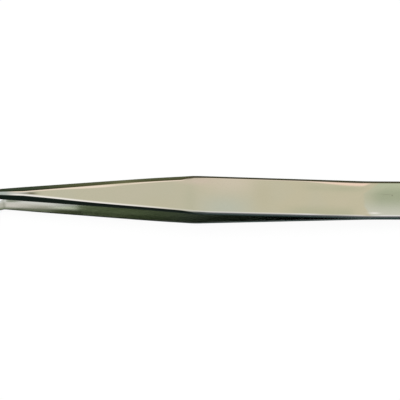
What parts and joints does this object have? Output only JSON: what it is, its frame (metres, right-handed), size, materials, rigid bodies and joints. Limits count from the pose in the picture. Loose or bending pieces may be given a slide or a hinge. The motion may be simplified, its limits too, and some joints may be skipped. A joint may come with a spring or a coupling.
{
  "type": "curved tweezers",
  "caption": "Slim sprung steel tweezers with bowed flat arms, bevelled fronts and fine points that curve sideways in the plane of the arms.",
  "frame": {"origin": "middle of the rectangle that the tweezers cover, on the surface that the lower arm lies on", "axes": "+X along the arms from the points towards the welded heel, +Z the way the arms open, with the upper arm's broad face up, +Y across the arms; the points curve towards -Y"},
  "size_m": [0.125, 0.0148, 0.0103],
  "materials": {
    "upper_arm_steel": "finely satined and polished stainless steel",
    "lower_arm_steel": "finely satined and polished stainless steel",
    "weld_steel": "as welded, hidden in the heel"
  },
  "bodies": {
    "heel": {"upper_heel": "upper_arm_steel", "lower_heel": "lower_arm_steel", "rear_weld": "weld_steel", "front_weld": "weld_steel"},
    "upper": {"upper_arm": "upper_arm_steel"},
    "lower": {"lower_arm": "lower_arm_steel"}
  },
  "joints": [
    {"name": "upper_arm_flexure", "type": "hinge", "parent": "heel", "child": "upper", "pos_m": [0.03445, 0.00216, 0.00687], "axis": [0, -1, 0], "range_deg": [0, 2.32], "stiffness_Nm_per_rad": 2},
    {"name": "lower_arm_flexure", "type": "hinge", "parent": "heel", "child": "lower", "pos_m": [0.03445, 0.00216, 0.00342], "axis": [0, 1, 0], "range_deg": [0, 2.32], "stiffness_Nm_per_rad": 2}
  ]
}
